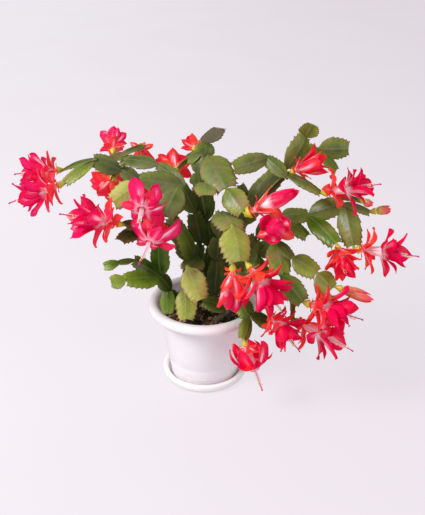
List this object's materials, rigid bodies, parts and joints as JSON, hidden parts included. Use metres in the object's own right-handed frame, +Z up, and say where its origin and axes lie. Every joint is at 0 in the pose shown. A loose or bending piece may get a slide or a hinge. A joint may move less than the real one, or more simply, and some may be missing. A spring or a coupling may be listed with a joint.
{
  "type": "potted christmas cactus",
  "caption": "Flowering christmas cactus with flat toothed stem segments and tiered blooms, arching out of a white pot that stands on its saucer.",
  "frame": {"origin": "centre of the saucer's flat underside, on the surface that the plant stands on", "axes": "+Z up along the pot's axis, -Y towards the side that the plant is seen from, +X to the right of it, along the plant's longest spread"},
  "size_m": [0.4116, 0.244, 0.3026],
  "materials": {
    "pot_plastic": "satin",
    "saucer_plastic": "satin",
    "soil": "matte",
    "leaf": "satin",
    "petal": "satin",
    "bud": "satin"
  },
  "bodies": {
    "root": {"saucer": "saucer_plastic", "pot": "pot_plastic", "soil": "soil", "arch_stem": "leaf", "centre_stem": "leaf", "front_stem": "leaf", "right_top_stem": "leaf", "right_mid_stem": "leaf", "right_low_stem": "leaf", "front_low_stem": "leaf", "left_low_stem": "leaf", "front_left_stem": "leaf", "left_mid_stem": "leaf", "back_left_stem": "leaf", "back_right_stem": "leaf", "bloom_01": "petal", "bloom_02": "petal", "bloom_03": "petal", "bloom_04": "petal", "bloom_05": "petal", "bloom_06": "petal", "bloom_07": "petal", "bloom_08": "petal", "bloom_09": "petal", "bloom_10": "petal", "bloom_11": "petal", "bloom_12": "petal", "bloom_13": "petal", "bloom_14": "petal", "bloom_15": "petal", "bloom_16": "petal", "bloom_17": "petal", "bloom_18": "petal", "bloom_19": "petal", "bloom_20": "petal", "bloom_21": "petal", "bloom_22": "petal", "bloom_23": "petal", "bud_1": "bud", "bud_2": "bud", "bud_3": "bud"}
  },
  "joints": []
}
